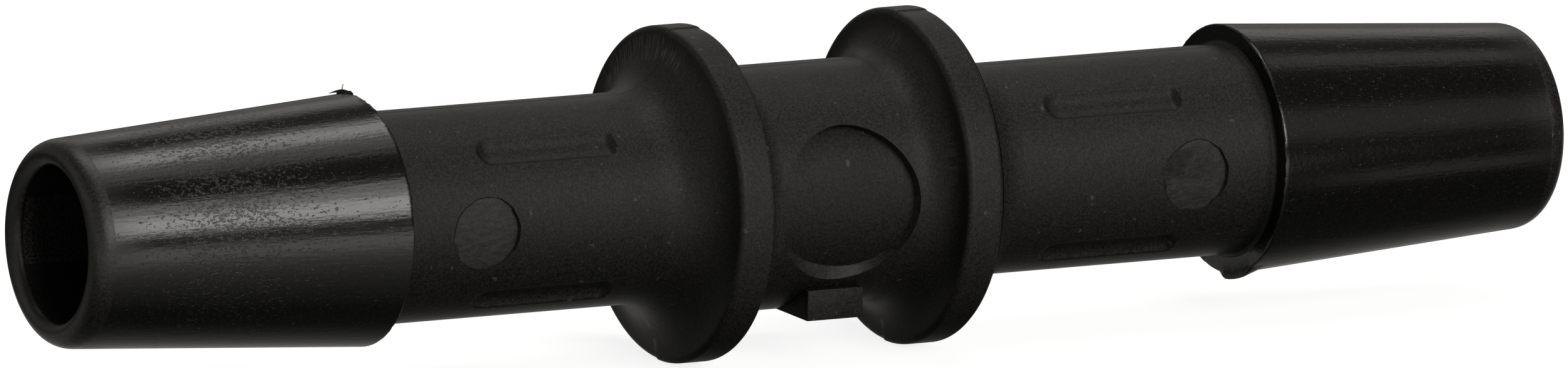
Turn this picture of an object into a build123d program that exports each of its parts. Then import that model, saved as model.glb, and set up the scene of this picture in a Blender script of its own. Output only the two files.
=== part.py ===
"""Straight barbed coupling for small irrigation tube, moulded in one piece.

The tube axis lies along X and the part's centre is the origin. The mould opens along Y, so its
parting plane is XZ, and the ejector marks and the insert mark face -Y. All sizes are millimetres.
"""
from build123d import *
import os

# ---- whole part ----
overall_length = 37.2
bore_diameter = 3.3
bore_lip_chamfer = 0.1

# ---- hose barbs ----
barb_diameter = 5.6
barb_tip_diameter = 4.56
barb_length = 7.6
end_flat = 0.07

# ---- shanks behind the barbs ----
shank_diameter = 4.7

# ---- stop flanges and the hub between them ----
flange_diameter = 7.5
flange_width = 0.89
flange_gap = 4.86
flange_edge_chamfer = 0.1
flange_outer_flat = 0.05
flange_inner_flat = 0.15
hub_diameter = 5.44

# ---- low collar that the +X flange's blend runs out on ----
collar_height = 0.06
collar_run_out = 0.02
collar_edge_chamfer = 0.04

# ---- shallow oval slots around the middle of each shank ----
slot_length = 3.45
slot_cutter_radius = 0.45
slot_depth = 0.13
slot_count = 4

# ---- ejector marks on the shanks ----
ejector_diameter = 1.68
ejector_depth = 0.06
ejector_from_barb = 2.05

# ---- round insert mark on the hub ----
insert_diameter = 3.5
insert_depth = 0.2
insert_chamfer = 0.18

# ---- flat pad under the hub, where the plastic came in ----
pad_width = 1.4
pad_span = 4.0
pad_inset = 0.08
pad_root = 0.1

# ---- places worked out from the sizes above ----
end_x = overall_length / 2
barb_back_x = end_x - barb_length
flange_inner_x = flange_gap / 2
flange_outer_x = flange_inner_x + flange_width
barb_radius = barb_diameter / 2
shank_radius = shank_diameter / 2
flange_radius = flange_diameter / 2
hub_radius = hub_diameter / 2
shank_middle_x = (flange_outer_x + barb_back_x) / 2
ejector_x = barb_back_x - ejector_from_barb
# The blends on the flanges' faces and the rounds on the barbs' tips take their whole wall but a
# narrow flat ring.
barb_tip_wall = (barb_tip_diameter - bore_diameter) / 2
barb_tip_radius = barb_tip_wall - bore_lip_chamfer - end_flat
outer_blend_radius = flange_radius - flange_edge_chamfer - flange_outer_flat - shank_radius
inner_blend_radius = flange_radius - flange_edge_chamfer - flange_inner_flat - hub_radius
collar_length = outer_blend_radius + collar_run_out
collar_end_x = flange_outer_x + collar_length
collar_radius = shank_radius + collar_height
pad_bottom = hub_radius - pad_inset
pad_top = (hub_radius**2 - (pad_span / 2) ** 2) ** 0.5 - pad_root
slot_tool_offset = shank_radius + slot_cutter_radius - slot_depth
slot_end_reach = (slot_cutter_radius**2 - (slot_cutter_radius - slot_depth) ** 2) ** 0.5
slot_travel = slot_length - 2 * slot_end_reach
insert_floor_diameter = insert_diameter - 2 * insert_chamfer

os.makedirs("parts", exist_ok=True)


def ring_edges(part, radius, places):
    """The circular edges of one radius that lie at these distances from the middle, both ways."""
    circles = part.edges().filter_by(GeomType.CIRCLE)
    return circles.filter_by(
        lambda edge: abs(edge.radius - radius) < 1e-4
        and any(abs(abs(edge.arc_center.X) - place) < 1e-4 for place in places)
    )


def sunk_disc(diameter, centre_x, surface_radius, depth):
    """The tool for a round mark: a disc along Y whose floor is a round surface sunk by depth."""
    with BuildPart() as tool:
        with BuildSketch(Plane.XZ.offset(flange_radius)):
            with Locations((centre_x, 0)):
                Circle(diameter / 2)
        extrude(amount=-flange_radius)
        with BuildSketch(Plane.YZ.offset(centre_x - diameter)):
            Circle(surface_radius - depth)
        extrude(amount=2 * diameter, mode=Mode.SUBTRACT)
    return tool.part


with BuildPart() as coupling_body:
    # The right half turned about the axis, with square corners, and then its mirror image.
    with BuildSketch(Plane.XZ):
        with BuildLine():
            Polyline(
                (0, 0),
                (0, hub_radius),
                (flange_inner_x, hub_radius),
                (flange_inner_x, flange_radius),
                (flange_outer_x, flange_radius),
                (flange_outer_x, shank_radius),
                (barb_back_x, shank_radius),
                (barb_back_x, barb_radius),
                (end_x, barb_tip_diameter / 2),
                (end_x, 0),
                close=True,
            )
        make_face()
    revolve(axis=Axis.X)
    mirror(about=Plane.YZ)

    # Blends at the foot of each flange, broken edges on its rim, and the rounded barb tips.
    fillet(ring_edges(coupling_body, shank_radius, [flange_outer_x]), outer_blend_radius)
    fillet(ring_edges(coupling_body, hub_radius, [flange_inner_x]), inner_blend_radius)
    chamfer(
        ring_edges(coupling_body, flange_radius, [flange_inner_x, flange_outer_x]),
        flange_edge_chamfer,
    )
    fillet(ring_edges(coupling_body, barb_tip_diameter / 2, [end_x]), barb_tip_radius)

    # The low collar at the foot of the +X flange.
    with BuildSketch(Plane.YZ.offset(collar_end_x)):
        Circle(collar_radius)
    extrude(amount=-collar_length)
    chamfer(ring_edges(coupling_body, collar_radius, [collar_end_x]), collar_edge_chamfer)

    # The through bore, with a small chamfer on each lip.
    with BuildSketch(Plane.YZ.offset(-end_x)):
        Circle(bore_diameter / 2)
    extrude(amount=overall_length, mode=Mode.SUBTRACT)
    chamfer(ring_edges(coupling_body, bore_diameter / 2, [end_x]), bore_lip_chamfer)

    # The flat pad under the hub, rooted a little way into it.
    with BuildSketch(Plane.XY.offset(-pad_bottom)):
        Rectangle(pad_width, pad_span)
    extrude(amount=pad_bottom - pad_top)

    # Four shallow oval slots around each shank, cut with a ball-ended tool.
    for side in (-1, 1):
        with Locations(Plane.YZ.offset(side * shank_middle_x)):
            with PolarLocations(slot_tool_offset, slot_count, start_angle=180 / slot_count):
                Cylinder(slot_cutter_radius, slot_travel, mode=Mode.SUBTRACT)
                with Locations((0, 0, slot_travel / 2), (0, 0, -slot_travel / 2)):
                    Sphere(slot_cutter_radius, mode=Mode.SUBTRACT)

    # The ejector marks on the shanks, and the insert mark on the hub with its sloping wall.
    for side in (-1, 1):
        add(
            sunk_disc(ejector_diameter, side * ejector_x, shank_radius, ejector_depth),
            mode=Mode.SUBTRACT,
        )
    add(sunk_disc(insert_floor_diameter, 0, hub_radius, insert_depth), mode=Mode.SUBTRACT)
    chamfer(coupling_body.edges(Select.LAST).sort_by(Axis.Y)[0], insert_chamfer)

coupling_body.part.label = "coupling_body"
export_step(coupling_body.part, "parts/coupling_body.step")
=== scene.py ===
"""Straight barbed coupling for small irrigation tube: the moulding as it looks, on a plain stage.

The tube axis lies along X and the origin is the middle of the part. The mould opened along Y, so
its parting plane is XZ and its marks face -Y. Pieces are shaped in millimetres and finished in
metres.
"""
import math
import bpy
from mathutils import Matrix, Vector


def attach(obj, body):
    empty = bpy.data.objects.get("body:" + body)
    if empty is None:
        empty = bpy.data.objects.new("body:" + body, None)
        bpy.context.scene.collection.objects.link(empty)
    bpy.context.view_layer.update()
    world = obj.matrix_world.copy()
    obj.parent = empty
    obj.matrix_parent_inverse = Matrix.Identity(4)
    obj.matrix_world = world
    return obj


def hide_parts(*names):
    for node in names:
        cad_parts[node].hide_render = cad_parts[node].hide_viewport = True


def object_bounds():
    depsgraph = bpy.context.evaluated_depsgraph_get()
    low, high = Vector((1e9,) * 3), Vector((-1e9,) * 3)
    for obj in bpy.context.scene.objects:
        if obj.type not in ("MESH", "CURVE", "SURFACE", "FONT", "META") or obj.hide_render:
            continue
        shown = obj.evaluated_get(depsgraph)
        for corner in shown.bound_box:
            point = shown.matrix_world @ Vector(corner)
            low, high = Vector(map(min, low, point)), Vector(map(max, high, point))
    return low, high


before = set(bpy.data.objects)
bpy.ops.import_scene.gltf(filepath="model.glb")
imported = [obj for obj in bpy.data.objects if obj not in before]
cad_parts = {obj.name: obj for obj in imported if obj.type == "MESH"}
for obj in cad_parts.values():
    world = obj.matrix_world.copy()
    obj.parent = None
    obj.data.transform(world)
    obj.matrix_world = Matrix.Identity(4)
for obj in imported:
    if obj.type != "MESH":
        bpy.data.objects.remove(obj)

from types import SimpleNamespace

import bmesh
import bpy
from bpy.props import FloatProperty, FloatVectorProperty, IntProperty, PointerProperty
from mathutils import Matrix, Vector, noise

bl_info = {
    "name": "Barbed Tube Coupling",
    "version": (1, 0, 0),
    "blender": (4, 5, 0),
    "location": "View3D > Sidebar > Coupling",
    "description": "Models a moulded barbed tube coupling and a plain stage for it",
    "category": "Object",
}

MM = 0.001
CAD_LOW, CAD_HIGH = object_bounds()

# The finish numbers, in the order of the moulding's materials.
BODY, BARB, TIP, BORE, MARK, INSERT = range(6)

# The picture's width and height.
PICTURE = (2500, 587)

# The background's colour and the lamps'.
WHITE = (1.0, 1.0, 1.0)
WARM_WHITE = (1.0, 0.978, 0.935)


# ---- Sizes and finishes that a user may change ----


def length(name, default, description):
    """A length property that is given in millimetres and kept in metres."""
    return FloatProperty(
        name=name, description=description, default=default * MM, unit="LENGTH", precision=5
    )


def level(name, default, description, low=0.0, high=1.0):
    """A plain number property."""
    return FloatProperty(name=name, description=description, default=default, min=low, max=high)


def angle(name, default, description):
    """An angle property that is given in degrees."""
    return FloatProperty(
        name=name, description=description, default=math.radians(default), subtype="ANGLE"
    )


class CouplingSizes(bpy.types.PropertyGroup):
    """Lengths of the moulding."""

    bore_diameter: length("Bore", 3.3, "Diameter of the water way")
    lip_radius: length("Lip radius", 1.9, "Radius of the crease round the mouth of the bore")
    lip_depth: length("Lip depth", 0.09, "How far the lip slopes in to the bore")
    lip_round: length("Lip round", 0.14, "Round between the lip and the bore")
    lip_oval: length("Lip oval", 0.06, "How much taller the mouth is than the bore")
    barb_diameter: length("Barb", 5.6, "Diameter of a barb at its back edge")
    barb_tip_diameter: length("Barb tip", 4.56, "Diameter that a barb tapers to at its end")
    barb_length: length("Barb length", 7.6, "Length of a barb")
    barb_rim: length("Barb rim", 0.035, "Worn edge at the back of a barb")
    tip_round_length: length("Tip round length", 0.58, "Length of a barb's rounded tip")
    tip_round_depth: length("Tip round depth", 0.47, "Depth of a barb's rounded tip")
    shank_diameter: length("Shank", 4.7, "Diameter behind a barb")
    hub_diameter: length("Hub", 5.44, "Diameter between the flanges")
    flange_width: length("Flange width", 0.89, "Width of a stop flange")
    flange_gap: length("Flange gap", 4.86, "Gap between the stop flanges")
    flange_edge: length("Flange edge", 0.14, "Round on the rims of the flanges")
    outer_blend: length("Outer blend", 1.25, "Blend between a shank and its flange")
    inner_blend: length("Inner blend", 0.78, "Blend between the hub and a flange")
    collar_height: length("Collar height", 0.06, "Height of the collar at the right flange")
    collar_edge: length("Collar edge", 0.04, "Round on the collar's edge")
    slot_length: length("Slot length", 3.45, "Length of the shallow slots")
    slot_cutter: length("Slot cutter", 0.45, "Radius of the ball cutter that made the slots")
    slot_depth: length("Slot depth", 0.18, "Depth of the slots")
    slot_softness: length("Slot softness", 0.035, "How far the slots' edges are rounded over")
    ejector_diameter: length("Ejector", 1.68, "Diameter of the ejector marks")
    ejector_depth: length("Ejector depth", 0.09, "Depth of an ejector mark at its middle")
    ejector_tilt: length("Ejector tilt", 0.02, "How much deeper the mark's right edge lies")
    ejector_face: length("Ejector face", 4.2, "Radius that the ejector pins' faces are cut to")
    ejector_from_barb: length("Ejector place", 2.05, "From a barb's back edge to its ejector mark")
    insert_diameter: length("Insert", 3.5, "Diameter of the insert mark on the hub")
    insert_depth: length("Insert depth", 0.2, "Depth of the insert mark")
    insert_slope: length("Insert slope", 0.32, "Width of the slope at the insert mark's bottom")
    pad_width: length("Pad width", 1.4, "Width of the pad where the plastic came in")
    pad_span: length("Pad span", 4.24, "Length of the pad across the hub")
    pad_inset: length("Pad inset", 0.08, "How far the pad's face lies above the hub's lowest line")
    pad_edge: length("Pad edge", 0.025, "Round on the pad's edges")
    mismatch: length("Mould mismatch", 0.03, "Step between the two mould halves")
    back_fillet: length("Back fillet", 0.09, "Round between the shank and the barb's back face")
    rim_tear: length("Rim tear", 0.016, "Unevenness of the barbs' back edges")
    rim_chip: length("Rim chip", 0.06, "Depth of the chips out of the left barb's top edge")
    gate_lump: length("Gate lump", 0.13, "Height of the lump under the right barb's edge")
    turn_steps: IntProperty(
        name="Steps round", description="Faces round the axis", default=216, min=24
    )


class CouplingFinish(bpy.types.PropertyGroup):
    """Colours and gloss of the plastic."""

    plastic: FloatVectorProperty(
        name="Plastic",
        description="Colour of the black plastic",
        default=(0.0054, 0.0051, 0.0047),
        subtype="COLOR",
        min=0.0,
        max=1.0,
    )
    body_roughness: level("Body roughness", 0.58, "Roughness of the fine matt faces")
    barb_roughness: level("Barb roughness", 0.18, "Roughness of the glossy barbs")
    tip_roughness: level("Tip roughness", 0.42, "Roughness of the rounded tips")
    body_gloss: level("Body gloss", 0.31, "How strongly the matt faces reflect")
    tip_gloss: level("Tip gloss", 0.45, "How strongly the rounded tips reflect")
    edge_polish: level("Edge polish", 0.3, "How much smoother the matt faces look edge-on")
    grain_depth: length("Grain depth", 0.01, "Height of the matt faces' fine grain")
    peel_depth: length("Peel depth", 0.003, "Height of the orange peel and drag on the barbs")


class StageSettings(bpy.types.PropertyGroup):
    """The camera, the lamps and the floor."""

    azimuth: angle("Azimuth", -29.357, "Camera's angle round the part")
    elevation: angle("Elevation", 11.674, "Camera's angle above the part")
    roll: angle("Roll", 1.813, "Camera's tilt about its own axis")
    distance: length("Distance", 712.9, "From the camera to the part's middle")
    aside: length("Aside", -0.178, "Camera's place to the right of the part's middle")
    view_width: length("View width", 34.7, "Width of the view at the part's middle")
    front_lamp: level("Front lamp", 5.5, "Brightness at its middle", high=50)
    top_lamp: level("Top lamp", 3.1, "Brightness at its middle", high=50)
    over_lamp: level("Overhead lamp", 0.8, "Brightness of its face", high=50)
    strip_lamp: level("Strip lamp", 0.5, "Brightness of its face", high=50)
    side_lamp: level("Side lamp", 0.2, "Brightness of its face", high=50)
    back_lamp: level("Back lamp", 0.33, "Brightness of its face", high=50)
    dim_room: level("Room", 0.06, "Brightness of the room", high=10)
    backdrop: level("Backdrop", 0.15, "Brightness of the backdrop in the gloss", high=10)
    left_wall: level("Left wall", 0.5, "Brightness of the left wall in the gloss", high=50)
    floor_front: level("Floor in front", 1.7, "Brightness of the far floor in the gloss", high=10)
    floor_strip: level("Floor strip", 0.35, "Brightness of the floor's strip in the gloss", high=10)
    floor_back: level("Floor behind", 0.26, "Brightness of the floor behind in the gloss", high=10)
    floor_shade: level("Floor shade", 0.045, "Brightness of the shaded floor in the gloss", high=10)


def millimetres(group):
    """The group's lengths in millimetres, and its other values as they are."""
    values = {}
    for name, prop in group.bl_rna.properties.items():
        if name in {"rna_type", "name"}:
            continue
        value = getattr(group, name)
        values[name] = value / MM if prop.unit == "LENGTH" else value
    return SimpleNamespace(**values)


def coupling_sizes(context):
    """The moulding's sizes in millimetres, with the places worked out from them."""
    s = millimetres(context.scene.coupling_sizes)
    s.end_x = CAD_HIGH.x / MM
    s.flange_radius = CAD_HIGH.z / MM - s.mismatch / 2
    s.bore_radius = s.bore_diameter / 2
    s.barb_radius = s.barb_diameter / 2
    s.tip_radius = s.barb_tip_diameter / 2
    s.shank_radius = s.shank_diameter / 2
    s.hub_radius = s.hub_diameter / 2
    s.barb_back_x = s.end_x - s.barb_length
    s.flange_inner_x = s.flange_gap / 2
    s.flange_outer_x = s.flange_inner_x + s.flange_width
    s.collar_radius = s.shank_radius + s.collar_height
    collar_run_out = 0.02
    s.collar_end_x = s.flange_outer_x + s.outer_blend + collar_run_out
    s.slot_x = (s.flange_outer_x + s.barb_back_x) / 2
    s.slot_reach = s.slot_length / 2 + 3 * s.slot_softness
    s.ejector_x = s.barb_back_x - s.ejector_from_barb
    s.in_wall_radius = s.bore_radius + 0.3
    return s


# ---- Shaping ----

# How far beside a round an outline has one more point, in millimetres.
GUARD = 0.03

# How many sides the tools that cut the round marks have.
MARK_SIDES = 180

# The seed of the flash's unevenness, because noise_vector is seeded by the clock otherwise.
FLASH_SEED = 1795398934

# The torn flash's blades. Each has a foot line, a crest line and a thickness. Each point of a line
# has its place along the axis from the left barb's back edge, its angle round the axis in degrees,
# and its height above the edge.
FLASH = (
    (
        [(-0.04, turn, -0.03) for turn in (93, 96, 99, 102, 105, 108)],
        [(-0.02, 93.5, 0.005), (-0.01, 96, 0.05), (-0.02, 99, 0.055)]
        + [(-0.02, 102, 0.075), (-0.03, 105, 0.085), (-0.06, 107.5, 0.07)],
        0.022,
    ),
    (
        [(-0.05, 105.5, 0.02), (-0.1, 108.5, 0.03), (-0.16, 111, 0.045)],
        [(-0.04, 105.5, 0.08), (-0.1, 108.5, 0.07), (-0.17, 111.2, 0.05)],
        0.016,
    ),
    (
        [(-0.03, 103.6, 0.06), (-0.02, 103.9, 0.12), (0, 103.2, 0.19)],
        [(-0.03, 104.5, 0.06), (-0.02, 104.3, 0.12), (0, 103.4, 0.195)],
        0.014,
    ),
)


def as_mesh(bm, name):
    """Makes a mesh from a bmesh and frees the bmesh."""
    mesh = bpy.data.meshes.new(name)
    bm.to_mesh(mesh)
    bm.free()
    return mesh


def new_object(name, data):
    """Adds an object to the scene."""
    added = bpy.data.objects.new(name, data)
    bpy.context.scene.collection.objects.link(added)
    return added


def put_in_scene(bm, name, materials):
    """Makes an object at the origin from a bmesh that was shaped in millimetres."""
    bmesh.ops.scale(bm, vec=(MM, MM, MM), verts=bm.verts)
    mesh = as_mesh(bm, name)
    for material in materials:
        mesh.materials.append(material)
    return new_object(name, mesh)


def outline_points(corners):
    """The points of an outline in the XZ plane.

    Each corner is its place along the axis, its radius, the lengths that its round takes of the
    side before it and of the side after it, and how many steps the round has, with the angle that
    it starts at if a crease cuts it short. A point a little way along each long side keeps the
    shading of the round off it.
    """
    places = [Vector((corner[0], 0, corner[1])) for corner in corners]
    points = []
    for index, (_, _, before, after, steps, *cut_short) in enumerate(corners):
        corner = places[index]
        if not steps:
            points.append(corner)
            continue
        side_in = places[index - 1] - corner
        side_out = places[(index + 1) % len(places)] - corner
        start = side_in.normalized()
        end = side_out.normalized()
        first = cut_short[0] if cut_short else 0
        if not first and side_in.length - before - corners[index - 1][3] > 5 * GUARD:
            points.append(corner + start * (before + GUARD))
        for step in range(steps + 1):
            turn = first + (math.pi / 2 - first) * step / steps
            inward = start * before * (1 - math.sin(turn))
            points.append(corner + inward + end * after * (1 - math.cos(turn)))
        if side_out.length - after - corners[(index + 1) % len(corners)][2] > 5 * GUARD:
            points.append(corner + end * (after + GUARD))
    return points


def half_outline(s, foot):
    """The corners of the right half, from the bore's mouth to the hub; foot is the flange's foot.

    A crease at the lip's radius cuts the tip's round short, and the tip's corner lies far enough
    out for the crease to reach the end of the part.
    """
    crease = math.asin(1 - (s.tip_radius - s.lip_radius) / s.tip_round_depth)
    slope_run = 0.25  # About how far the end face would run along the axis to the tip's corner.
    share = (s.tip_radius - s.lip_radius) / math.hypot(s.tip_radius - s.bore_radius, slope_run)
    curve = s.tip_round_length * (1 - math.cos(crease))
    tip_x = s.end_x + (curve + share * s.lip_depth) / (1 - share)
    cone_slope = (s.barb_radius - s.tip_radius) / s.barb_length
    near_rim = [  # These rings keep the back edge's wear close to it.
        (s.barb_back_x + along, s.barb_radius - cone_slope * along, 0, 0, 0)
        for along in (0.45, 0.25, 0.1)
    ]
    return [
        (s.end_x - s.lip_depth, s.bore_radius, s.lip_round, s.lip_round, 5),
        (tip_x, s.tip_radius, s.tip_round_depth, s.tip_round_length, 12, crease),
        *near_rim,
        (s.barb_back_x, s.barb_radius, s.barb_rim, s.barb_rim, 3),
        (s.barb_back_x, s.shank_radius, s.back_fillet, s.back_fillet, 6),
        (s.slot_x + s.slot_reach, s.shank_radius, 0, 0, 0),
        (s.slot_x - s.slot_reach, s.shank_radius, 0, 0, 0),
        *foot,
        (s.flange_outer_x, s.flange_radius, s.flange_edge, s.flange_edge, 6),
        (s.flange_inner_x, s.flange_radius, s.flange_edge, s.flange_edge, 6),
        (s.flange_inner_x, s.hub_radius, s.inner_blend, s.inner_blend, 12),
    ]


def turn_body(bm, s):
    """Turns the moulding's outline about the axis."""
    collar_foot = [
        (s.collar_end_x, s.shank_radius, 0, 0, 0),
        (s.collar_end_x, s.collar_radius, s.collar_edge, s.collar_edge, 4),
        (s.flange_outer_x, s.collar_radius, s.outer_blend, s.outer_blend, 14),
    ]
    plain_foot = [(s.flange_outer_x, s.shank_radius, s.outer_blend, s.outer_blend, 14)]
    right, left = (
        outline_points(half_outline(s, foot) + [(0, s.hub_radius, 0, 0, 0)])
        for foot in (collar_foot, plain_foot)
    )
    left = [Vector((-point.x, 0, point.z)) for point in left[-2::-1]]
    verts = [bm.verts.new(point) for point in right + left]
    edges = [bm.edges.new((vert, verts[index - 1])) for index, vert in enumerate(verts)]
    slot_lines = [
        edge
        for edge in edges
        if abs(edge.calc_length() - 2 * s.slot_reach) < 1e-3
        and all(abs(vert.co.z - s.shank_radius) < 1e-3 for vert in edge.verts)
    ]
    bmesh.ops.subdivide_edges(bm, edges=slot_lines, cuts=27)
    outline = bm.verts[:] + bm.edges[:]
    axis = {"cent": (0, 0, 0), "axis": (1, 0, 0)}
    bmesh.ops.spin(
        bm, geom=outline, **axis, angle=math.tau, steps=s.turn_steps, use_merge=True
    )
    bmesh.ops.remove_doubles(bm, verts=bm.verts, dist=1e-5)


def edges_of(faces):
    """The faces' edges, each once and always in the same order."""
    return list(dict.fromkeys(edge for face in faces for edge in face.edges))


def widen(vert, times):
    """Moves a vertex straight out from the axis, to so many times its distance."""
    vert.co.y *= times
    vert.co.z *= times


def smooth_least(one, other, softness):
    """The smaller of two numbers, with the change from one to the other rounded over."""
    blend = max(0.0, min(1.0, 0.5 + 0.5 * (other - one) / softness))
    return other * (1 - blend) + one * blend - softness * blend * (1 - blend)


def cutter_radius_at(s, along, across):
    """How far from the axis a slot's ball-ended cutter leaves the plastic, or None beside it.

    The slots' right-hand ends are steeper than a ball would leave them.
    """
    cutter_axis = s.shank_radius + s.slot_cutter - s.slot_depth
    end_reach = math.sqrt(s.slot_cutter**2 - (s.slot_cutter - s.slot_depth) ** 2)
    steeper = 2.0 if along > 0 else 1.0
    past_end = max(0.0, abs(along) - (s.slot_length / 2 - end_reach / steeper)) * steeper
    if past_end >= s.slot_cutter:
        return None
    section = s.slot_cutter**2 - past_end**2 - (cutter_axis * math.sin(across)) ** 2
    if section <= 0:
        return None
    return cutter_axis * math.cos(across) - math.sqrt(section)


def press_slot(bm, s, centre_x, centre_angle):
    """Divides the shank finely round one slot and presses the cutter's shape into it."""
    half_width = 0.62
    reach = half_width / s.shank_radius

    def place(co):
        across = math.atan2(co.z, -co.y) - centre_angle
        return co.x - centre_x, math.remainder(across, math.tau)

    def near(co, spare):
        along, across = place(co)
        outside = math.hypot(co.y, co.z) > s.shank_radius - 0.05
        return outside and abs(along) < s.slot_reach + spare and abs(across) < reach + spare

    faces = [face for face in bm.faces if near(face.calc_center_median(), 0)]
    bmesh.ops.subdivide_edges(bm, edges=edges_of(faces), cuts=2, use_grid_fill=True)
    for vert in bm.verts:
        if not near(vert.co, 0.05):
            continue
        radius = s.shank_radius
        cut = cutter_radius_at(s, *place(vert.co))
        if cut is not None:
            radius = smooth_least(radius, cut, s.slot_softness)
        widen(vert, radius / math.hypot(vert.co.y, vert.co.z))


def shift_halves(bm, s):
    """Steps the two mould halves apart where they meet between the barbs, most on the flanges."""
    seam = 0.005  # Half the width of the step, in millimetres.
    least = 0.12  # The share of the step that the hub and the shanks have.
    rise = 0.5  # How far above the hub the step is whole.
    inside = s.barb_back_x - 0.001

    def moulded(co):
        return abs(co.x) < inside and math.hypot(co.y, co.z) > s.in_wall_radius

    for side in (-seam, seam):
        faces = [face for face in bm.faces if all(moulded(vert.co) for vert in face.verts)]
        verts = dict.fromkeys(vert for face in faces for vert in face.verts)
        geom = [*faces, *edges_of(faces), *verts]
        plane = {"plane_co": (0, side, 0), "plane_no": (0, 1, 0)}
        bmesh.ops.bisect_plane(bm, geom=geom, dist=1e-5, **plane)
    for vert in bm.verts:
        if moulded(vert.co):
            above_hub = (math.hypot(vert.co.y, vert.co.z) - s.hub_radius) / rise
            share = max(least, min(1.0, above_hub)) * max(-1.0, min(1.0, vert.co.y / seam))
            vert.co.z += s.mismatch / 2 * share


def hump(angle_deg, start, end):
    """Rises from 0 to 1 and falls back between two angles in degrees."""
    part = (angle_deg - start) / (end - start)
    return math.sin(math.pi * part) if 0 < part < 1 else 0.0


def stretch_mouth(s, vert, radius):
    """Makes the bore's mouth a little taller, fading out with depth and close to the lip."""
    depth, fade_depth, fade_lip = 0.8, 0.6, 0.15
    from_end = s.end_x - abs(vert.co.x)
    if from_end < depth:
        fade = min(1.0, (depth - from_end) / fade_depth)
        fade *= min(1.0, (s.lip_radius - radius) / fade_lip)
        widen(vert, 1 + s.lip_oval / radius * (vert.co.z / radius) ** 2 * fade)


def tear_rim(s, vert, side, round_angle):
    """Makes a barb's back edge uneven, with stepped chips out of the left one's top."""
    place = Vector((side * 7, vert.co.y, vert.co.z))
    vert.co.x += s.rim_tear * (noise.noise(place * 9) + 0.6 * noise.noise(place * 23))
    if side < 0:
        steps = math.floor(5.98 * abs(noise.noise(place * 4.3))) / 2
        chip = min(1.0, 4 * hump(round_angle, 60, 97)) * (0.25 + steps)
        vert.co.x -= s.rim_chip * min(1.0, chip)


def raise_lump(s, vert, radius, round_angle, from_rim):
    """Swells the right barb's back edge underneath, where a little plastic was left."""
    lump = min(1.0, 1.7 * hump(round_angle, -90, -60)) * max(0.0, 1 - from_rim / 0.45)
    vert.co.x -= 0.05 * lump
    place = Vector((0, vert.co.y, vert.co.z)) * 14
    widen(vert, 1 + s.gate_lump / radius * lump * (1 + 0.036 * noise.noise(place)))


def wear_ends(bm, s):
    """Makes the mouths a little oval, roughens the barbs' back edges and adds the gate lump."""
    for vert in bm.verts:
        radius = math.hypot(vert.co.y, vert.co.z)
        if radius < s.lip_radius - 0.02:
            stretch_mouth(s, vert, radius)
        from_rim = abs(vert.co.x) - s.barb_back_x
        if not -0.01 < from_rim < 0.5 or radius < s.barb_radius - 0.06:
            continue
        side = math.copysign(1, vert.co.x)
        round_angle = math.degrees(math.atan2(vert.co.z, -vert.co.y))
        if from_rim < 0.05:
            tear_rim(s, vert, side, round_angle)
        if side > 0:
            raise_lump(s, vert, radius, round_angle, from_rim)


def mark_tool(s, centre_x, outline, surface, rings):
    """The tool that cuts one sunk mark facing -Y.

    outline(angle, inset) is a ring's radius, surface(depth, x, z) the place in Y of a face that
    lies that deep, x from the mark's middle, and rings the wall from its foot up, as how far each
    ring is set in and how deep it lies.
    """
    bm = bmesh.new()
    bmesh.ops.create_circle(bm, cap_ends=False, segments=MARK_SIDES, radius=1)
    turn = Matrix.Rotation(math.pi / 2, 3, "X") @ Matrix.Rotation(math.pi / MARK_SIDES, 3, "Z")
    bmesh.ops.rotate(bm, verts=bm.verts, cent=(0, 0, 0), matrix=turn)
    ring_verts = bm.verts[:]
    ring_edges = first_edges = bm.edges[:]
    for index, (inset, depth) in enumerate(rings):
        if index:
            grown = bmesh.ops.extrude_edge_only(bm, edges=ring_edges)["geom"]
            ring_verts = [item for item in grown if isinstance(item, bmesh.types.BMVert)]
            new_edges = [item for item in grown if isinstance(item, bmesh.types.BMEdge)]
            ring_edges = [edge for edge in new_edges if set(edge.verts) <= set(ring_verts)]
        for vert in ring_verts:
            turn = math.atan2(vert.co.z, vert.co.x - (centre_x if index else 0))
            reach = outline(turn, inset)
            x, z = reach * math.cos(turn), reach * math.sin(turn)
            vert.co = (centre_x + x, surface(depth, x, z), z)
    cap = bmesh.ops.extrude_edge_only(bm, edges=ring_edges)["geom"]
    cap_verts = [item for item in cap if isinstance(item, bmesh.types.BMVert)]
    for vert in cap_verts:
        vert.co.y = -s.flange_radius
    bmesh.ops.contextual_create(bm, geom=cap_verts)
    # The floor is bridged from its left half to its right half, so it follows the curve. The
    # highest and the lowest side, which lie across the middle, stay out.
    floor_sides = [
        edge
        for edge in first_edges
        if abs(edge.verts[0].co.x + edge.verts[1].co.x - 2 * centre_x) > 0.025
    ]
    bmesh.ops.bridge_loops(bm, edges=floor_sides)
    bmesh.ops.recalc_face_normals(bm, faces=bm.faces)
    return bm


def insert_tool(s):
    """The tool for the round insert mark on the hub: its wall is a slope, widest at the bottom."""
    depth = s.insert_depth + 0.03
    lowest = math.radians(-102)
    rings = [(s.insert_slope + 0.04, depth)]
    for part in (1.0, 0.97, 0.8, 0.5, 0.2, 0.05):
        rings.append((s.insert_slope * part, depth * min(1.0, part + 0.02)))
    rings.append((0, -0.2))

    def outline(turn, inset):
        place = Vector((math.cos(turn), math.sin(turn), 9)) * 2.5
        uneven = 0.012 * noise.noise(place) * max(0.0, math.sin(turn))
        width = 0.18 + 0.82 * max(0.0, math.cos(turn - lowest)) ** 3
        return s.insert_diameter / 2 + uneven - inset * width

    def surface(depth, x, z):
        return -math.sqrt((s.hub_radius - depth) ** 2 - z**2)

    return mark_tool(s, 0, outline, surface, rings)


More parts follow.
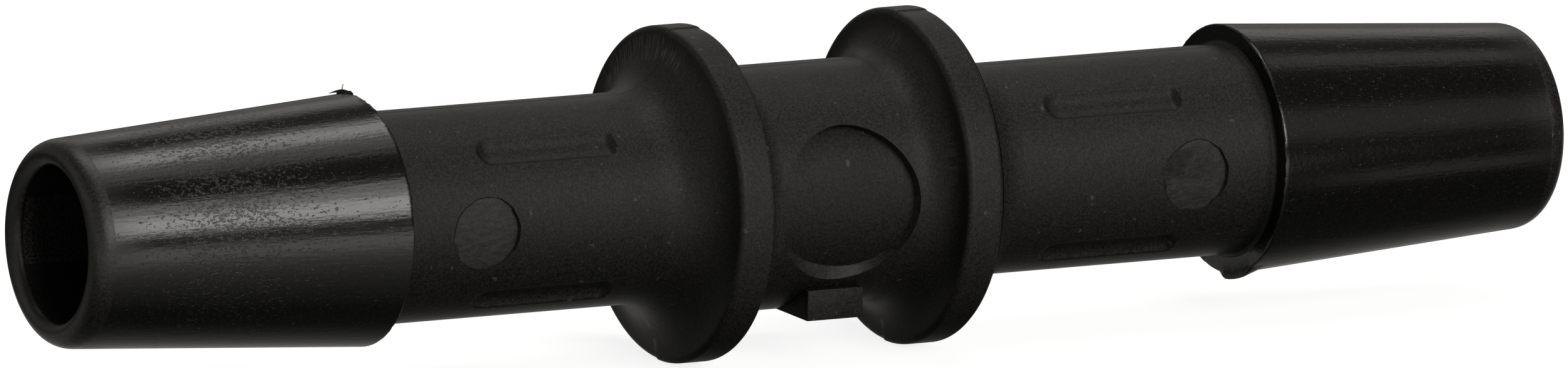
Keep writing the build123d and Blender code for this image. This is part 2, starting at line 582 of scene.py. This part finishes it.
def ejector_tool(s, side):
    """The tool for one ejector mark: a ragged edge, a bevelled wall and a nearly flat face."""
    notch = math.radians(205 if side < 0 else 262)
    wide = math.radians(135 if side < 0 else 150)
    spread = 0.08 if side < 0 else 0.13

    def outline(turn, inset):
        place = Vector((math.cos(turn) * 3, math.sin(turn) * 3, side * 5))
        ragged = noise.noise(place) * 0.022 + noise.noise(place * 4) * 0.014
        from_notch = math.remainder(turn - notch, math.tau) / 0.12
        ragged -= 0.05 * math.exp(-(from_notch**2))
        bevel = 0.02 + spread * max(0.0, math.cos(turn - wide))
        return s.ejector_diameter / 2 + ragged - inset * bevel

    def surface(depth, x, z):
        if depth < 0:
            return -math.sqrt((s.shank_radius - depth) ** 2 - z**2)
        middle = s.shank_radius - depth - s.ejector_tilt * x / (s.ejector_diameter / 2)
        return -middle + s.ejector_face - math.sqrt(s.ejector_face**2 - z**2)

    rings = [(1, s.ejector_depth), (0, 0.01), (0, -0.2)]
    return mark_tool(s, side * s.ejector_x, outline, surface, rings)


def pad_block(s):
    """The flat pad under the hub, where the plastic came in."""
    bm = bmesh.new()
    bmesh.ops.create_cube(bm, size=1)
    bottom = -(s.hub_radius - s.pad_inset)
    top = -s.in_wall_radius
    bmesh.ops.scale(bm, vec=(s.pad_width, s.pad_span, top - bottom), verts=bm.verts)
    bmesh.ops.translate(bm, vec=(0, 0, (top + bottom) / 2), verts=bm.verts)
    edges = {"geom": bm.edges[:], "affect": "EDGES"}
    bmesh.ops.bevel(bm, **edges, offset=s.pad_edge, segments=3, profile=0.5, material=-1)
    return bm


def join_and_cut(body, pad, tools):
    """Joins the pad to the body and cuts the marks into it; all are shaped in millimetres."""
    shapes = {"body": body, "pad": pad, "tools": tools}
    solids = [new_object(name, as_mesh(bm, name)) for name, bm in shapes.items()]
    for other, operation in zip(solids[1:], ("UNION", "DIFFERENCE")):
        step = solids[0].modifiers.new(other.name, "BOOLEAN")
        step.operation = operation
        step.solver = "EXACT"
        step.object = other
    depsgraph = bpy.context.evaluated_depsgraph_get()
    cut = bpy.data.meshes.new_from_object(solids[0].evaluated_get(depsgraph))
    bm = bmesh.new()
    bm.from_mesh(cut)
    bpy.data.meshes.remove(cut)
    for solid in solids:
        bpy.data.meshes.remove(solid.data)
    return bm


def finish_of(s, centre):
    """Which finish a face has, from its centre in millimetres."""
    radius = math.hypot(centre.y, centre.z)
    along = abs(centre.x)
    if radius < s.bore_radius + 0.02 and along < s.end_x - 0.3:
        return BORE
    if along > s.end_x - s.tip_round_length:
        return TIP
    if along > s.barb_back_x - (0.15 if radius > s.shank_radius + 0.1 else -0.001):
        return BARB
    if centre.y < 0 and math.hypot(centre.x, centre.z) < s.insert_diameter / 2:
        if radius < s.hub_radius - 0.03:
            return INSERT if radius < s.hub_radius - s.insert_depth - 0.02 else MARK
    from_mark = math.hypot(along - s.ejector_x, centre.z)
    if centre.y < 0 and from_mark < s.ejector_diameter / 2 and radius < s.shank_radius - 0.012:
        return MARK
    return BODY


def blade(bm, s, lines, thickness):
    """A thin torn blade between two lines, cut finer and made uneven between them."""
    rows = []
    for line in lines:
        row = []
        for along, turn, height in line:
            turn, radius = math.radians(turn), s.barb_radius + height
            place = (along - s.barb_back_x, -radius * math.cos(turn), radius * math.sin(turn))
            row.append(bm.verts.new(place))
        rows.append(row)
    edges = [bm.edges.new(pair) for row in rows for pair in zip(row, row[1:])]
    faces = bmesh.ops.bridge_loops(bm, edges=edges)["faces"]
    finer = bmesh.ops.subdivide_edges(bm, edges=edges_of(faces), cuts=3, use_grid_fill=True)
    inner = [item for item in finer["geom_inner"] if isinstance(item, bmesh.types.BMVert)]
    for vert in inner:
        vert.co += noise.noise_vector(vert.co * 17) * 0.012
    faces = dict.fromkeys(face for vert in inner for face in vert.link_faces)
    bmesh.ops.solidify(bm, geom=list(faces), thickness=thickness)


def make_flash(s):
    """The torn flash on the top of the left barb's back edge: a flake, a sliver and a whisker."""
    noise.seed_set(FLASH_SEED)
    bm = bmesh.new()
    for foot, crest, thickness in FLASH:
        blade(bm, s, (foot, crest), thickness)
    bmesh.ops.recalc_face_normals(bm, faces=bm.faces)
    return bm


# ---- Materials ----

# How many times brighter than the plastic the lightest specks and scratches are.
BRIGHTEST = 22.0


def feed(tree, socket, value):
    """Gives an input a value, or links another node's output to it."""
    if isinstance(value, bpy.types.NodeSocket):
        tree.links.new(value, socket)
    else:
        socket.default_value = value


def add_node(tree, kind, **inputs):
    """Adds a node and feeds its inputs by name, with _ for a space."""
    node = tree.nodes.new(kind)
    for name, value in inputs.items():
        feed(tree, node.inputs[name.replace("_", " ")], value)
    return node


def feed_in_order(tree, node, *values):
    """Feeds a node's inputs in their order, and returns its first output."""
    for socket, value in zip(node.inputs, values):
        feed(tree, socket, value)
    return node.outputs[0]


def math_node(tree, operation, *values):
    """The result of a Math node on one or two inputs, each a socket or a number."""
    node = tree.nodes.new("ShaderNodeMath")
    node.operation = operation
    return feed_in_order(tree, node, *values)


def total(tree, first, *others):
    """The sum of several inputs, each a socket or a number."""
    for other in others:
        first = math_node(tree, "ADD", first, other)
    return first


def product(tree, first, *others):
    """The product of several inputs, each a socket or a number."""
    for other in others:
        first = math_node(tree, "MULTIPLY", first, other)
    return first


def ramp(tree, value, low, high):
    """Maps a value from low..high to 0..1, held at both ends."""
    node = add_node(tree, "ShaderNodeMapRange", Value=value, From_Min=low, From_Max=high)
    return node.outputs["Result"]


def stretched(tree, scale, turn=(0, 0, 0)):
    """Object coordinates, scaled along each axis and turned."""
    place = tree.nodes.new("ShaderNodeTexCoord").outputs["Object"]
    mapping = add_node(tree, "ShaderNodeMapping", Vector=place, Scale=scale, Rotation=turn)
    return mapping.outputs["Vector"]


def parts_of(tree, vector):
    """A vector's X, Y and Z."""
    return add_node(tree, "ShaderNodeSeparateXYZ", Vector=vector).outputs


def place_in_mm(tree):
    """A point's X, Y and Z in millimetres."""
    return parts_of(tree, stretched(tree, (1 / MM, 1 / MM, 1 / MM)))


def noise_at(tree, per_mm, detail=2.0, roughness=0.5, turn=(0, 0, 0)):
    """A noise with so many bumps per millimetre along each axis."""
    place = stretched(tree, [count / MM for count in per_mm], turn)
    texture = add_node(
        tree, "ShaderNodeTexNoise", Vector=place, Scale=1.0, Detail=detail, Roughness=roughness
    )
    return texture.outputs["Fac"]


def grain_group():
    """Fine moulded grain, shared by all finishes: a height, a fine speckle and a slow mottle."""
    layers = (
        ("Grain per mm", 8.5, "Height", 3.0),
        ("Speckle per mm", 21.0, "Speckle", 2.0),
        ("Mottle per mm", 1.2, "Mottle", 3.0),
    )
    group = bpy.data.node_groups.new("moulded_grain", "ShaderNodeTree")
    for scale, per_mm, label, _ in layers:
        socket = group.interface.new_socket(scale, in_out="INPUT", socket_type="NodeSocketFloat")
        socket.default_value = per_mm
        group.interface.new_socket(label, in_out="OUTPUT", socket_type="NodeSocketFloat")
    start, end = group.nodes.new("NodeGroupInput"), group.nodes.new("NodeGroupOutput")
    place = stretched(group, (1 / MM, 1 / MM, 1 / MM))
    for scale, _, label, detail in layers:
        values = {"Scale": start.outputs[scale], "Detail": detail, "Roughness": 0.6}
        texture = add_node(group, "ShaderNodeTexNoise", Vector=place, **values)
        group.links.new(texture.outputs["Fac"], end.inputs[label])
    return group


def plastic_material(name, finish, roughness, grain, build):
    """A black plastic. build(tree, shader, grain node) links what the finish adds."""
    material = bpy.data.materials.new(name)
    material.use_nodes = True
    tree = material.node_tree
    shader = tree.nodes["Principled BSDF"]
    shader.inputs["Base Color"].default_value = (*finish.plastic, 1)
    shader.inputs["Roughness"].default_value = roughness
    texture = tree.nodes.new("ShaderNodeGroup")
    texture.node_tree = grain
    build(tree, shader, texture)
    return material


def tint(tree, shader, finish, value, low, high):
    """Makes the plastic's colour run from low to high times itself as a value runs from 0 to 1."""
    mix = tree.nodes.new("ShaderNodeMix")
    mix.data_type = "RGBA"
    colours = [socket for socket in mix.inputs if socket.type == "RGBA"]
    for colour, times in zip(colours, (low, high)):
        colour.default_value = (*(part * times for part in finish.plastic), 1)
    tree.links.new(value, mix.inputs["Factor"])
    result = [socket for socket in mix.outputs if socket.type == "RGBA"][0]
    tree.links.new(result, shader.inputs["Base Color"])


def raise_surface(tree, shader, height, distance):
    """Links a height to the shader's normal through a Bump node; distance is in metres."""
    bump = add_node(tree, "ShaderNodeBump", Strength=1.0, Distance=distance, Height=height)
    tree.links.new(bump.outputs["Normal"], shader.inputs["Normal"])


def mottled(tree, texture, roughness):
    """A roughness that varies a little with the grain's slow mottle."""
    return total(tree, product(tree, texture.outputs["Mottle"], 0.1), roughness - 0.05)


def scuffs_on_flanges(tree):
    """Where the flanges are scratched: short radial strokes near the rim, in a few patches."""
    x, y, z = place_in_mm(tree)
    radius = math_node(tree, "SQRT", total(tree, product(tree, y, y), product(tree, z, z)))
    turned = product(tree, math_node(tree, "ARCTAN2", z, y), 42.0)
    place = add_node(tree, "ShaderNodeCombineXYZ", X=turned, Y=product(tree, radius, 1.5), Z=0.0)
    place = place.outputs["Vector"]
    strokes = add_node(
        tree, "ShaderNodeTexNoise", Vector=place, Scale=1.0, Detail=2.0, Roughness=0.6
    )
    ring = product(tree, ramp(tree, radius, 2.95, 3.2), ramp(tree, radius, 3.62, 3.5))
    upper = product(tree, ramp(tree, z, 1.2, 2.0), ramp(tree, y, -1.4, -0.4))
    lower = product(tree, ramp(tree, z, -1.2, -2.0), ramp(tree, x, 2.4, 2.8))
    worn = product(tree, math_node(tree, "MAXIMUM", upper, lower), 0.3)
    patches = ramp(tree, total(tree, noise_at(tree, (0.55, 0.4, 0.4), 1.0), worn), 0.66, 0.76)
    return product(tree, ramp(tree, strokes.outputs["Fac"], 0.48, 0.62), ring, patches)


def matt_finish(finish, roughness, speckle, gloss, scuffed=False):
    """A finely grained matt face, speckled and slowly mottled, shinier when seen edge-on.

    speckle is how many times brighter than the plastic the speckle is at most.
    """

    def build(tree, shader, texture):
        spots = ramp(tree, texture.outputs["Speckle"], 0.38, 0.66)
        specks = ramp(tree, noise_at(tree, (5, 5, 5), 1.0), 0.74, 0.78)
        spots = product(tree, spots, speckle / BRIGHTEST)
        bright = total(tree, spots, product(tree, specks, 0.4))
        if scuffed:
            bright = total(tree, bright, scuffs_on_flanges(tree))
        tint(tree, shader, finish, bright, 0, BRIGHTEST)
        raise_surface(tree, shader, texture.outputs["Height"], finish.grain_depth)
        edge_on = add_node(tree, "ShaderNodeLayerWeight", Blend=0.5)
        polish = product(tree, ramp(tree, edge_on.outputs["Facing"], 0.5, 0.95), finish.edge_polish)
        rough = math_node(tree, "SUBTRACT", mottled(tree, texture, roughness), polish)
        tree.links.new(rough, shader.inputs["Roughness"])
        shader.inputs["Specular IOR Level"].default_value = gloss

    return build


def barb_finish(finish):
    """The glossy barbs: orange peel, drag marks along the axis, dull ends, and dull pits that are
    thickest round the left barb's middle.
    """

    def build(tree, shader, texture):
        x, _, z = place_in_mm(tree)
        peel = noise_at(tree, (8, 8, 8), 3.0, 0.6)
        drag = noise_at(tree, (0.9, 13, 13), 3.0, 0.6)
        worn = product(
            tree, ramp(tree, x, -17.8, -16), ramp(tree, x, -12.4, -14.6), ramp(tree, z, -2.8, 0.4)
        )
        pits = total(tree, noise_at(tree, (9, 16, 16), 2.0, 0.7), product(tree, worn, 0.13))
        pits = ramp(tree, pits, 0.66, 0.72)
        near_tip = ramp(tree, math_node(tree, "ABSOLUTE", x), 17.2, 18.3)
        tint(tree, shader, finish, ramp(tree, texture.outputs["Speckle"], 0.35, 0.68), 0.2, 1.7)
        height = total(tree, peel, product(tree, drag, 1.2), product(tree, pits, -1.5))
        raise_surface(tree, shader, height, finish.peel_depth)
        dull = total(tree, product(tree, pits, 0.35), product(tree, near_tip, 0.35))
        rough = total(tree, product(tree, dull, 0.4), finish.barb_roughness)
        tree.links.new(rough, shader.inputs["Roughness"])

    return build


def mark_finish(finish, roughness):
    """The print of the ejector pins and of the insert's edge: fine slanting streaks."""

    def build(tree, shader, texture):
        lines = noise_at(tree, (4, 1, 8), 5.0, 0.7, (0, math.radians(-12), 0))
        height = total(tree, lines, product(tree, texture.outputs["Height"], 0.4))
        raise_surface(tree, shader, height, finish.grain_depth * 2.5)
        speckle = product(tree, texture.outputs["Speckle"], 0.4)
        streaks = total(tree, product(tree, lines, 0.6), speckle)
        tint(tree, shader, finish, ramp(tree, streaks, 0.42, 0.6), 0, 4.4)
        tree.links.new(mottled(tree, texture, roughness), shader.inputs["Roughness"])

    return build


def coupling_materials(context):
    """The moulding's materials, in the order of the finish numbers."""
    finish = context.scene.coupling_finish
    grain = grain_group()
    body, tip, gloss = finish.body_roughness, finish.tip_roughness, finish.body_gloss
    finishes = (
        ("matt_plastic", body, matt_finish(finish, body, 4.4, gloss, scuffed=True)),
        ("glossy_plastic", finish.barb_roughness, barb_finish(finish)),
        ("tip_plastic", tip, matt_finish(finish, tip, 4.5, finish.tip_gloss)),
        # The bore's speckle, far brighter than the body's, is painted light that makes the inside
        # of the bore look lit.
        ("bore_plastic_painted_light", body, matt_finish(finish, body, 18.0, gloss)),
        ("ejector_plastic", body, mark_finish(finish, body)),
        ("insert_plastic", body, matt_finish(finish, body, 3.8, gloss * 0.9)),
    )
    return [
        plastic_material(name, finish, roughness, grain, build)
        for name, roughness, build in finishes
    ]


# ---- Operators ----


class COUPLING_OT_moulding(bpy.types.Operator):
    """Model the one-piece moulding"""

    bl_idname = "coupling.moulding"
    bl_label = "Coupling Moulding"

    def execute(self, context):
        s = coupling_sizes(context)
        bm = bmesh.new()
        turn_body(bm, s)
        for centre_x in (-s.slot_x, s.slot_x):
            for quarter in range(4):
                press_slot(bm, s, centre_x, math.radians(45 + 90 * quarter))
        shift_halves(bm, s)
        wear_ends(bm, s)
        bmesh.ops.recalc_face_normals(bm, faces=bm.faces)
        tools = bmesh.new()
        for tool in (insert_tool(s), ejector_tool(s, -1), ejector_tool(s, 1)):
            mesh = as_mesh(tool, "tool")
            tools.from_mesh(mesh)
            bpy.data.meshes.remove(mesh)
        bm = join_and_cut(bm, pad_block(s), tools)
        for face in bm.faces:
            face.material_index = finish_of(s, face.calc_center_median())
        piece = put_in_scene(bm, "coupling_moulding", coupling_materials(context))
        piece.data.shade_smooth()
        crease = math.radians(32)
        piece.data.set_sharp_from_angle(angle=crease)
        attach(piece, "root")
        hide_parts("coupling_body")
        return {"FINISHED"}


class COUPLING_OT_flash(bpy.types.Operator):
    """Model the torn flash on the left barb's back edge"""

    bl_idname = "coupling.flash"
    bl_label = "Moulding Flash"

    def execute(self, context):
        s = coupling_sizes(context)
        finish = context.scene.coupling_finish
        grain = bpy.data.node_groups["moulded_grain"]
        matt = matt_finish(finish, finish.body_roughness, 10.0, finish.body_gloss)
        torn = plastic_material("torn_plastic", finish, finish.body_roughness, grain, matt)
        piece = put_in_scene(make_flash(s), "moulding_flash", [torn])
        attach(piece, "root")
        return {"FINISHED"}


def soft_lamp(name, aim, width, height, brightness, away=0.8):
    """A rectangular lamp that faces the origin from the direction aim.

    Its width and height are angles in degrees, as the part sees them, and its brightness is that
    of its face, where 1 is white.
    """
    lamp = bpy.data.lights.new(name, "AREA")
    lamp.shape = "RECTANGLE"
    lamp.size = 2 * away * math.tan(math.radians(width / 2))
    lamp.size_y = 2 * away * math.tan(math.radians(height / 2))
    lamp.energy = brightness * 4 * lamp.size * lamp.size_y
    lamp.color = WARM_WHITE
    holder = new_object(name, lamp)
    direction = Vector(aim).normalized()
    holder.location = direction * away
    holder.rotation_euler = direction.to_track_quat("Z", "Y").to_euler()
    holder.visible_camera = False


def mix_shaders(tree, share, below, above):
    """Two shaders, mixed by the share of the one above."""
    return feed_in_order(tree, tree.nodes.new("ShaderNodeMixShader"), share, below, above)


def background_mix(tree, room, background, reflected):
    """Joins three shaders: the room that lights the part, the background that the camera sees,
    also through glass, and what the part's gloss shows of it.
    """
    ray = tree.nodes.new("ShaderNodeLightPath").outputs
    seen = math_node(tree, "MAXIMUM", ray["Is Camera Ray"], ray["Is Transmission Ray"])
    lit = mix_shaders(tree, ray["Is Glossy Ray"], room, reflected)
    return mix_shaders(tree, seen, lit, background)


def clear_from_below(tree, shader):
    """A shader that is clear from its back, so that the part can be looked at from underneath."""
    side = tree.nodes.new("ShaderNodeNewGeometry").outputs["Backfacing"]
    clear = tree.nodes.new("ShaderNodeBsdfTransparent").outputs["BSDF"]
    return mix_shaders(tree, side, shader, clear)


def make_world(stage):
    """A white background in a dim room; the part's gloss shows some of it low down behind."""
    world = bpy.data.worlds.new("studio")
    world.use_nodes = True
    bpy.context.scene.world = world
    tree = world.node_tree
    tree.nodes.clear()
    place = tree.nodes.new("ShaderNodeTexCoord").outputs["Generated"]
    x, y, z = parts_of(tree, place)
    low = ramp(tree, z, 0.75, 0.5)
    behind = product(tree, ramp(tree, y, 0.2, 0.7), low, stage.backdrop)
    left = product(tree, low, ramp(tree, x, -0.55, -0.8), stage.left_wall)
    in_gloss = total(tree, behind, left, stage.dim_room)
    room, background, reflected = (
        add_node(tree, "ShaderNodeBackground", Color=(*colour, 1), Strength=strength).outputs[0]
        for colour, strength in ((WHITE, stage.dim_room), (WHITE, 1.0), (WARM_WHITE, in_gloss))
    )
    surface = background_mix(tree, room, background, reflected)
    add_node(tree, "ShaderNodeOutputWorld", Surface=surface)


def floor_in_gloss(tree, stage):
    """How bright the floor is in the part's gloss.

    It is brightest far in front on the left, fades towards the part's own shade, has one lighter
    strip in front on the right, and is lit a little again behind the part.
    """
    x, y, _ = place_in_mm(tree)
    slant = total(tree, x, product(tree, y, 0.69))
    front = product(tree, ramp(tree, y, -3.0, -28.0), ramp(tree, slant, 10.0, 6.5))
    strip = product(tree, ramp(tree, y, -7.0, -8.5), ramp(tree, y, -13.0, -11.0))
    strip = product(tree, strip, ramp(tree, slant, 10.0, 13.0), stage.floor_strip)
    back = product(tree, ramp(tree, y, -1.8, 1.2), ramp(tree, y, 14.0, 5.0), stage.floor_back)
    return total(tree, product(tree, front, stage.floor_front), strip, back, stage.floor_shade)


def make_floor(stage):
    """A pale floor that the flanges stand on; it keeps the part's shadow."""
    bm = bmesh.new()
    reach = 2000
    bmesh.ops.create_grid(bm, x_segments=1, y_segments=1, size=reach)
    bmesh.ops.translate(bm, vec=(0, 0, CAD_LOW.z / MM), verts=bm.verts)
    material = bpy.data.materials.new("pale_floor")
    material.use_nodes = True
    tree = material.node_tree
    tree.nodes.clear()
    dim = add_node(tree, "ShaderNodeBsdfDiffuse", Color=(0.06, 0.06, 0.06, 1))
    pale = add_node(tree, "ShaderNodeBsdfDiffuse", Color=(0.5, 0.5, 0.5, 1))
    lift = add_node(tree, "ShaderNodeEmission", Color=(*WHITE, 1), Strength=0.85)
    both = tree.nodes.new("ShaderNodeAddShader")
    lit = feed_in_order(tree, both, pale.outputs["BSDF"], lift.outputs["Emission"])
    in_gloss = floor_in_gloss(tree, stage)
    gloss = add_node(tree, "ShaderNodeEmission", Color=(*WARM_WHITE, 1), Strength=in_gloss)
    surface = background_mix(tree, dim.outputs["BSDF"], lit, gloss.outputs["Emission"])
    add_node(tree, "ShaderNodeOutputMaterial", Surface=clear_from_below(tree, surface))
    put_in_scene(bm, "floor", [material])


def make_camera(stage):
    """The camera, at the part's usual viewing angle."""
    camera = new_object("camera", bpy.data.cameras.new("camera"))
    turn = Matrix.Rotation(stage.azimuth, 3, "Z")
    tip = Matrix.Rotation(math.pi / 2 - stage.elevation, 3, "X")
    axes = turn @ tip @ Matrix.Rotation(stage.roll, 3, "Z")
    place = axes @ Vector((stage.aside, 0, stage.distance))
    camera.matrix_world = Matrix.Translation(place) @ axes.to_4x4()
    # The picture is a low strip from the middle of a 36 mm frame, so its height sets the fit.
    camera.data.sensor_width = 36
    camera.data.sensor_fit = "VERTICAL"
    camera.data.lens = 400
    picture_height = stage.view_width * PICTURE[1] / PICTURE[0]
    camera.data.sensor_height = camera.data.lens * picture_height / stage.distance
    camera.data.clip_start = 0.01
    camera.data.clip_end = 20
    bpy.context.scene.camera = camera


class COUPLING_OT_stage(bpy.types.Operator):
    """Make the floor, the lamps, the room and the camera"""

    bl_idname = "coupling.stage"
    bl_label = "Stage"

    def execute(self, context):
        stage = context.scene.coupling_stage
        make_world(stage)
        make_floor(stage)
        make_camera(stage)
        # The front and the top lamp have a core that adds to them and lies a little nearer.
        near = 0.78
        front, top = (0.14, -0.92, 0.395), (0.145, 0.3, 1.0)
        soft_lamp("front_lamp", (0.14, -0.88, 0.47), 41, 31, stage.front_lamp * 0.38)
        soft_lamp("front_lamp_core", front, 38, 13, stage.front_lamp * 0.6, near)
        soft_lamp("top_lamp", top, 37, 23, stage.top_lamp * 0.4)
        soft_lamp("top_lamp_core", top, 35, 12, stage.top_lamp * 0.6, near)
        soft_lamp("over_lamp", (0.145, -0.15, 1.0), 37, 27, stage.over_lamp)
        soft_lamp("strip_lamp", (0.78, 0.17, 1.0), 14, 6, stage.strip_lamp)
        soft_lamp("side_lamp", (0.7, -0.72, 0.42), 14, 24, stage.side_lamp)
        soft_lamp("back_lamp", (0.45, 0.72, 0.46), 50, 18, stage.back_lamp)
        context.scene.view_settings.view_transform = "Standard"
        return {"FINISHED"}


class COUPLING_PT_panel(bpy.types.Panel):
    """Lists the coupling's operators and values"""

    bl_idname = "COUPLING_PT_panel"
    bl_label = "Coupling"
    bl_space_type = "VIEW_3D"
    bl_region_type = "UI"
    bl_category = "Coupling"

    def draw(self, context):
        scene = context.scene
        for operator in OPERATORS:
            self.layout.operator(operator.bl_idname)
        for group in (scene.coupling_sizes, scene.coupling_finish, scene.coupling_stage):
            box = self.layout.box()
            for name in group.bl_rna.properties.keys():
                if name not in {"rna_type", "name"}:
                    box.prop(group, name)


OPERATORS = (COUPLING_OT_moulding, COUPLING_OT_flash, COUPLING_OT_stage)
CLASSES = (CouplingSizes, CouplingFinish, StageSettings, *OPERATORS, COUPLING_PT_panel)


def register():
    for cls in CLASSES:
        bpy.utils.register_class(cls)
    bpy.types.Scene.coupling_sizes = PointerProperty(type=CouplingSizes)
    bpy.types.Scene.coupling_finish = PointerProperty(type=CouplingFinish)
    bpy.types.Scene.coupling_stage = PointerProperty(type=StageSettings)


def unregister():
    del bpy.types.Scene.coupling_stage
    del bpy.types.Scene.coupling_finish
    del bpy.types.Scene.coupling_sizes
    for cls in reversed(CLASSES):
        bpy.utils.unregister_class(cls)


def main():
    """Makes the whole scene."""
    register()
    bpy.ops.coupling.moulding()
    bpy.ops.coupling.flash()
    bpy.ops.coupling.stage()


if __name__ == "__main__":
    main()
